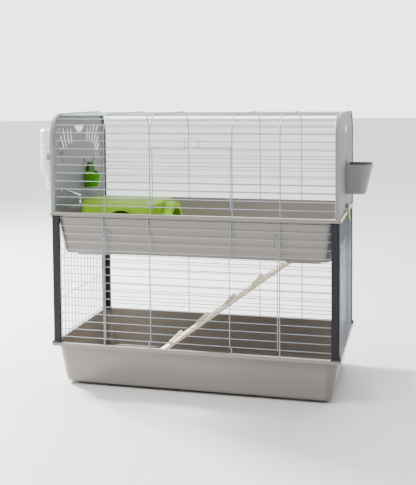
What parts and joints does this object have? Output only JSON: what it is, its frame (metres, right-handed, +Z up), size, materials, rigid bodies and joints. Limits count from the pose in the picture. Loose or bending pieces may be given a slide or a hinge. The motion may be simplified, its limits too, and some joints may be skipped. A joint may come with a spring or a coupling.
{
  "type": "rabbit hutch",
  "caption": "Two-storey indoor rabbit hutch: plastic trays, corner posts, wire panels, an arched wire top with doors, ramp, hut, bottle and feeder.",
  "frame": {"origin": "on the floor under the middle of the hutch", "axes": "+X to the right along the hutch, +Y from the front to the back, +Z up"},
  "size_m": [1.162, 0.51, 0.95],
  "materials": {
    "tray_plastic": "semi-gloss moulded taupe grey",
    "post_plastic": "satin anthracite",
    "panel_plastic": "satin light grey",
    "bin_plastic": "satin light grey",
    "wire_enamel": "light blue-grey enamel",
    "clip_plastic": "bright yellow-green",
    "bottle_clear": "frosted translucent",
    "bottle_cap_plastic": "white",
    "steel": "bare steel",
    "bowl_plastic": "bright green",
    "chute_plastic": "dark green",
    "hut_plastic": "lime green",
    "ramp_wood": "planed light softwood"
  },
  "bodies": {
    "hutch": {"lower_tray": "tray_plastic", "upper_tray": "tray_plastic", "post_front_left": "post_plastic", "post_front_right": "post_plastic", "post_rear_left": "post_plastic", "post_rear_right": "post_plastic", "lower_front_sill": "wire_enamel", "lower_front_left_grille": "wire_enamel", "lower_front_right_grille": "wire_enamel", "lower_front_head": "wire_enamel", "lower_back_panel": "wire_enamel", "lower_left_panel": "wire_enamel", "lower_right_panel": "wire_enamel", "end_panel_left": "panel_plastic", "end_panel_right": "panel_plastic", "upper_front_sill": "wire_enamel", "upper_front_left_grille": "wire_enamel", "upper_front_right_grille": "wire_enamel", "upper_front_head": "wire_enamel", "canopy_front_shoulder": "wire_enamel", "canopy_rear_shoulder": "wire_enamel", "canopy_roof": "wire_enamel", "canopy_back_grille": "wire_enamel", "clip_left_pin": "steel", "clip_right_pin": "steel", "bottle_cradle": "panel_plastic"},
    "lower_door": {"lower_door": "wire_enamel"},
    "upper_door": {"upper_door": "wire_enamel"},
    "upper_door_latch": {"upper_door_latch": "wire_enamel"},
    "clip_left": {"clip_left": "clip_plastic"},
    "clip_right": {"clip_right": "clip_plastic"},
    "bottle": {"bottle_body": "bottle_clear", "bottle_cap": "bottle_cap_plastic", "bottle_spout": "steel", "bottle_ball": "steel"},
    "outer_bin": {"outer_bin": "bin_plastic"},
    "feed_hopper": {"feed_hopper": "bin_plastic"},
    "feeder": {"feed_bowl": "bowl_plastic", "feed_chute": "chute_plastic"},
    "hut": {"hut_shell": "hut_plastic"},
    "ramp": {"ramp_board": "ramp_wood", "ramp_cleats": "ramp_wood", "ramp_hooks": "steel", "ramp_screws": "steel"}
  },
  "joints": [
    {"name": "lower_door_hinge", "type": "hinge", "parent": "hutch", "child": "lower_door", "pos_m": [-0.004, -0.2445, 0.1763], "axis": [1, 0, 0], "range_deg": [0, 115]},
    {"name": "upper_door_hinge", "type": "hinge", "parent": "hutch", "child": "upper_door", "pos_m": [0.0055, -0.2445, 0.6359], "axis": [1, 0, 0], "range_deg": [0, 135]},
    {"name": "upper_latch_turn", "type": "hinge", "parent": "upper_door", "child": "upper_door_latch", "pos_m": [0.008, -0.2451, 0.838], "axis": [1, 0, 0], "range_deg": [0, 130]},
    {"name": "clip_left_turn", "type": "hinge", "parent": "hutch", "child": "clip_left", "pos_m": [-0.5, 0, 0.625], "axis": [0, 1, 0], "range_deg": [0, 100]},
    {"name": "clip_right_turn", "type": "hinge", "parent": "hutch", "child": "clip_right", "pos_m": [0.5, 0, 0.625], "axis": [0, -1, 0], "range_deg": [0, 100]},
    {"name": "bottle_slide", "type": "slide", "parent": "hutch", "child": "bottle", "axis": [-0.9613, 0, 0.2756], "range_m": [0, 0.07]},
    {"name": "outer_bin_lift", "type": "slide", "parent": "hutch", "child": "outer_bin", "axis": [0, 0, 1], "range_m": [0, 0.014]},
    {"name": "feed_hopper_lift", "type": "slide", "parent": "hutch", "child": "feed_hopper", "axis": [0, 0, 1], "range_m": [0, 0.014]},
    {"name": "feeder_lift", "type": "slide", "parent": "hutch", "child": "feeder", "axis": [0, 0, 1], "range_m": [0, 0.012]},
    {"name": "hut_lift", "type": "slide", "parent": "hutch", "child": "hut", "axis": [0, 0, 1], "range_m": [0, 0.085]},
    {"name": "ramp_swing", "type": "hinge", "parent": "hutch", "child": "ramp", "pos_m": [0.3545, 0, 0.4765], "axis": [0, 1, 0], "range_deg": [0, 28]}
  ]
}
